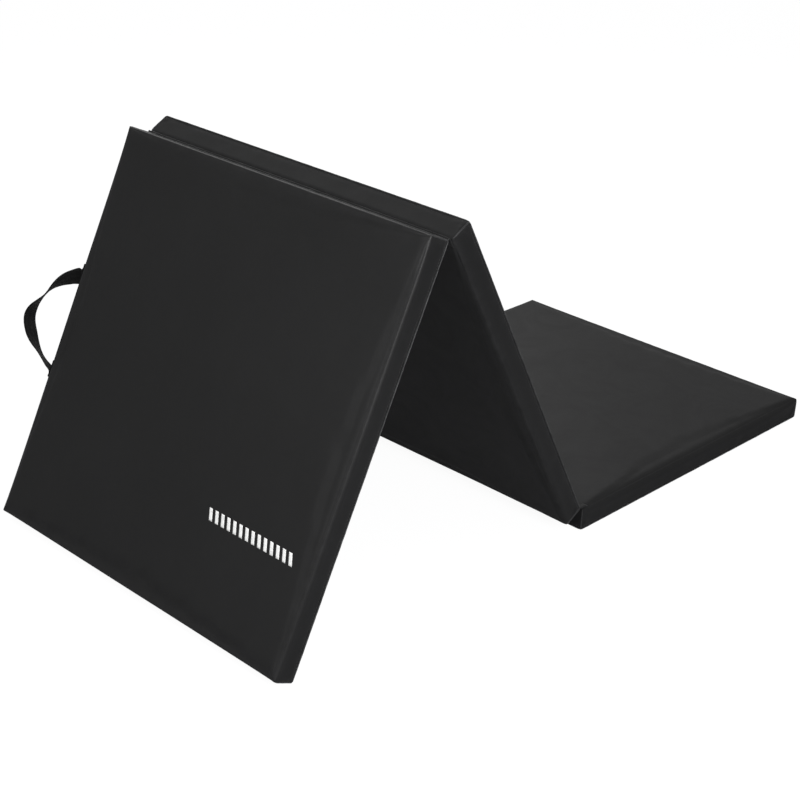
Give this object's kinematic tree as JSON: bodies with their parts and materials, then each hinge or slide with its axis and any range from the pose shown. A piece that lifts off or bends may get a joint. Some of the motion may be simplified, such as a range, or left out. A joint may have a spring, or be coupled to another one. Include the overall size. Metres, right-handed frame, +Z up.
{
  "type": "folding exercise mat",
  "caption": "Folding exercise mat of square padded panels that fold like an accordion, standing as a tent, with zipped covers, fabric hinges and webbing carry handles.",
  "frame": {"origin": "centre of the base panel's underside", "axes": "+X along the mat from the tent to the base panel's free end, +Y to the edge that carries the handles, +Z up"},
  "size_m": [1.2414, 0.7, 0.5688],
  "materials": {
    "vinyl": "satin",
    "foam": "matte",
    "webbing": "matte",
    "tape": "matte",
    "metal": "satin"
  },
  "bodies": {
    "base_panel": {"base_cover": "vinyl", "base_closing_sheet": "vinyl", "base_foam_core": "foam", "base_zip_tape_outer": "tape", "base_zip_tape_inner": "tape", "base_handle_tab_left": "webbing", "base_handle_tab_right": "webbing", "base_hinge_strip": "vinyl"},
    "middle_panel": {"middle_cover": "vinyl", "middle_closing_sheet": "vinyl", "middle_foam_core": "foam", "middle_zip_tape_outer": "tape", "middle_zip_tape_inner": "tape", "ridge_hinge_strip": "vinyl"},
    "lead_panel": {"lead_cover": "vinyl", "lead_closing_sheet": "vinyl", "lead_foam_core": "foam", "lead_zip_tape_outer": "tape", "lead_zip_tape_inner": "tape", "lead_handle_tab_lower": "webbing", "lead_handle_tab_upper": "webbing"},
    "lead_handle": {"lead_handle_strap": "webbing"},
    "base_handle": {"base_handle_strap": "webbing"},
    "base_slider": {"base_zip_slider": "metal"},
    "base_pull": {"base_zip_pull": "metal"},
    "middle_slider": {"middle_zip_slider": "metal"},
    "middle_pull": {"middle_zip_pull": "metal"},
    "lead_slider": {"lead_zip_slider": "metal"},
    "lead_pull": {"lead_zip_pull": "metal"}
  },
  "joints": [
    {"name": "base_fold", "type": "hinge", "parent": "base_panel", "child": "middle_panel", "pos_m": [-0.3055, 0, 0.0395], "axis": [0, 1, 0], "range_deg": [-60.5, 119.5], "deforming": ["base_hinge_strip"]},
    {"name": "ridge_fold", "type": "hinge", "parent": "middle_panel", "child": "lead_panel", "pos_m": [-0.64206, 0, 0.5511], "axis": [0, -1, 0], "range_deg": [-125.45, 54.55], "deforming": ["ridge_hinge_strip"]},
    {"name": "lead_handle_swing", "type": "hinge", "parent": "lead_panel", "child": "lead_handle", "pos_m": [-0.78996, 0.3072, 0.283], "axis": [-0.4234, 0, -0.906], "range_deg": [-20, 35], "stiffness_Nm_per_rad": 0.05},
    {"name": "base_handle_swing", "type": "hinge", "parent": "base_panel", "child": "base_handle", "pos_m": [0, 0.3072, 0.019], "axis": [-1, 0, 0], "range_deg": [-30, 4], "stiffness_Nm_per_rad": 0.05},
    {"name": "base_zip_slide", "type": "slide", "parent": "base_panel", "child": "base_slider", "axis": [0, -1, 0], "range_m": [0, 0.544]},
    {"name": "middle_zip_slide", "type": "slide", "parent": "middle_panel", "child": "middle_slider", "axis": [0.4924, 0, -0.8704], "range_m": [0, 0.544]},
    {"name": "lead_zip_slide", "type": "slide", "parent": "lead_panel", "child": "lead_slider", "axis": [0, 1, 0], "range_m": [0, 0.544]},
    {"name": "base_pull_swing", "type": "hinge", "parent": "base_slider", "child": "base_pull", "pos_m": [0.3054, 0.272, 0.019], "axis": [0, 0, 1], "range_deg": [0, 180]},
    {"name": "middle_pull_swing", "type": "hinge", "parent": "middle_slider", "child": "middle_pull", "pos_m": [-0.60772, 0.3069, 0.53204], "axis": [0.8704, 0, 0.4924], "range_deg": [0, 180]},
    {"name": "lead_pull_swing", "type": "hinge", "parent": "lead_slider", "child": "lead_pull", "pos_m": [-0.91925, -0.272, 0.00632], "axis": [-0.906, 0, 0.4234], "range_deg": [0, 180]}
  ]
}
